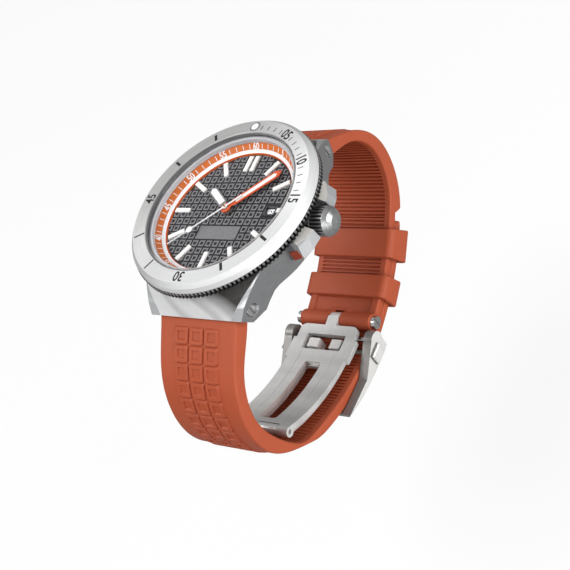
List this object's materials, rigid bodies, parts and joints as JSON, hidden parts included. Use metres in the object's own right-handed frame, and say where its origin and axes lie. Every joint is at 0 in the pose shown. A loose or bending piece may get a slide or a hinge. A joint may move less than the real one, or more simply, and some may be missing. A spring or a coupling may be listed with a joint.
{
  "type": "dive watch",
  "caption": "Round steel dive watch with a coin-edge turning bezel, hooded lugs, guarded crown, orange rubber strap and folding clasp.",
  "frame": {"origin": "centre of the case back's outer face", "axes": "+Z out of the dial, +Y to twelve o'clock, +X to the crown at three o'clock"},
  "size_m": [0.0473, 0.0764, 0.0571],
  "materials": {
    "steel_brushed": "brushed",
    "steel_polished": "polished",
    "rubber_orange": "satin",
    "inlay_orange": "satin",
    "gasket_black": "matte",
    "sapphire": "polished",
    "flange_orange": "satin",
    "white_paint": "satin",
    "lume": "matte",
    "nickel": "satin",
    "wheel_brass": "satin",
    "dial_dark": "satin"
  },
  "bodies": {
    "root": {"balance_cock": "nickel", "bezel_gasket": "gasket_black", "blade_inner": "steel_brushed", "case_back": "steel_brushed", "case_back_gasket": "gasket_black", "case_middle": "steel_brushed", "chapter_ring": "white_paint", "clasp_bar": "steel_polished", "clasp_bar_screws": "steel_polished", "click_spring": "steel_polished", "crown_tube": "steel_polished", "crystal": "sapphire", "crystal_gasket": "gasket_black", "date_frame": "white_paint", "dial": "dial_dark", "flange_ring": "flange_orange", "fold_pin": "steel_polished", "guard_inlay": "inlay_orange", "hairspring": "steel_polished", "hour_markers": "lume", "keeper_1": "rubber_orange", "keeper_2": "rubber_orange", "lug_bars": "steel_polished", "lug_screws": "steel_polished", "main_plate": "nickel", "movement_ring": "nickel", "strap_bend": "rubber_orange", "strap_lower": "rubber_orange", "strap_upper": "rubber_orange", "train_bridge": "nickel"},
    "bezel": {"bezel": "steel_brushed", "bezel_pip": "lume"},
    "stem_slide": {"crown_gasket": "gasket_black"},
    "crown": {"crown": "steel_polished", "winding_stem": "steel_polished"},
    "seconds": {"fourth_wheel": "wheel_brass", "seconds_hand": "white_paint"},
    "third": {"third_wheel": "wheel_brass"},
    "centre": {"centre_wheel": "wheel_brass", "cannon_pinion": "steel_polished", "minute_hand": "flange_orange", "minute_hand_lume": "lume"},
    "barrel": {"barrel": "wheel_brass"},
    "escape": {"escape_wheel": "steel_polished"},
    "minute_works": {"minute_wheel": "wheel_brass"},
    "hour": {"hour_wheel": "wheel_brass", "hour_hand": "steel_polished", "hour_hand_lume": "lume"},
    "pallet": {"pallet_fork": "steel_polished"},
    "balance": {"balance_wheel": "wheel_brass"},
    "rotor": {"rotor": "nickel"},
    "date": {"date_ring": "white_paint"},
    "clasp_cover": {"cover": "steel_brushed", "strap_end": "rubber_orange", "strap_peg": "steel_polished", "button_springs": "steel_polished"},
    "clasp_blade": {"blade_middle": "steel_brushed", "cover_pin": "steel_polished"},
    "button_crown_side": {"push_button_crown_side": "steel_polished"},
    "button_far_side": {"push_button_far_side": "steel_polished"}
  },
  "joints": [
    {"name": "bezel_turn", "type": "hinge", "parent": "root", "child": "bezel", "pos_m": [0, 0, 0.011], "axis": [0, 0, -1], "continuous": true},
    {"name": "crown_pull", "type": "slide", "parent": "root", "child": "stem_slide", "axis": [1, 0, 0], "range_m": [0, 0.0016]},
    {"name": "crown_turn", "type": "hinge", "parent": "stem_slide", "child": "crown", "pos_m": [0.0232, 0, 0.0063], "axis": [1, 0, 0], "continuous": true},
    {"name": "seconds_turn", "type": "hinge", "parent": "root", "child": "seconds", "pos_m": [0, 0, 0.0108], "axis": [0, 0, -1], "continuous": true},
    {"name": "minute_turn", "type": "hinge", "parent": "root", "child": "centre", "pos_m": [0, 0, 0.0104], "axis": [0, 0, -1], "continuous": true},
    {"name": "hour_turn", "type": "hinge", "parent": "root", "child": "hour", "pos_m": [0, 0, 0.0099], "axis": [0, 0, -1], "continuous": true},
    {"name": "third_wheel_turn", "type": "hinge", "parent": "root", "child": "third", "pos_m": [0.0039, -0.00225, 0.0042], "axis": [0, 0, -1], "continuous": true},
    {"name": "barrel_turn", "type": "hinge", "parent": "root", "child": "barrel", "pos_m": [-0.00509, 0.00294, 0.005], "axis": [0, 0, -1], "continuous": true},
    {"name": "escape_wheel_turn", "type": "hinge", "parent": "root", "child": "escape", "pos_m": [-0.00151, -0.00416, 0.0045], "axis": [0, 0, -1], "continuous": true},
    {"name": "minute_wheel_turn", "type": "hinge", "parent": "root", "child": "minute_works", "pos_m": [0.0016, 0.00277, 0.008], "axis": [0, 0, -1], "continuous": true},
    {"name": "pallet_fork_rock", "type": "hinge", "parent": "root", "child": "pallet", "pos_m": [-0.00151, -0.00711, 0.0045], "axis": [0, 0, -1], "range_deg": [-5, 5]},
    {"name": "balance_swing", "type": "hinge", "parent": "root", "child": "balance", "pos_m": [-0.00571, -0.00711, 0.0055], "axis": [0, 0, -1], "range_deg": [-150, 150]},
    {"name": "rotor_turn", "type": "hinge", "parent": "root", "child": "rotor", "pos_m": [0, 0, 0.002], "axis": [0, 0, -1], "continuous": true},
    {"name": "date_ring_turn", "type": "hinge", "parent": "root", "child": "date", "pos_m": [0, 0, 0.0084], "axis": [0, 0, -1], "continuous": true},
    {"name": "clasp_open", "type": "hinge", "parent": "root", "child": "clasp_cover", "pos_m": [0, -0.0301, -0.02735], "axis": [-1, 0, 0], "range_deg": [0, 100], "deforming": ["strap_bend", "keeper_1", "keeper_2"]},
    {"name": "clasp_blade_fold", "type": "hinge", "parent": "root", "child": "clasp_blade", "pos_m": [0, -0.0301, -0.02735], "axis": [-1, 0, 0], "range_deg": [0, 100]},
    {"name": "button_crown_side_press", "type": "slide", "parent": "clasp_cover", "child": "button_crown_side", "axis": [-1, 0, 0], "range_m": [0, 0.0008]},
    {"name": "button_far_side_press", "type": "slide", "parent": "clasp_cover", "child": "button_far_side", "axis": [1, 0, 0], "range_m": [0, 0.0008]}
  ],
  "couplings": [
    {"joint": "minute_turn", "follows": "seconds_turn", "ratio": 0.016667},
    {"joint": "hour_turn", "follows": "seconds_turn", "ratio": 0.0013889},
    {"joint": "third_wheel_turn", "follows": "seconds_turn", "ratio": -0.13333},
    {"joint": "barrel_turn", "follows": "seconds_turn", "ratio": -0.0027778},
    {"joint": "escape_wheel_turn", "follows": "seconds_turn", "ratio": -10},
    {"joint": "minute_wheel_turn", "follows": "seconds_turn", "ratio": -0.0055556},
    {"joint": "clasp_blade_fold", "follows": "clasp_open", "ratio": 1}
  ]
}
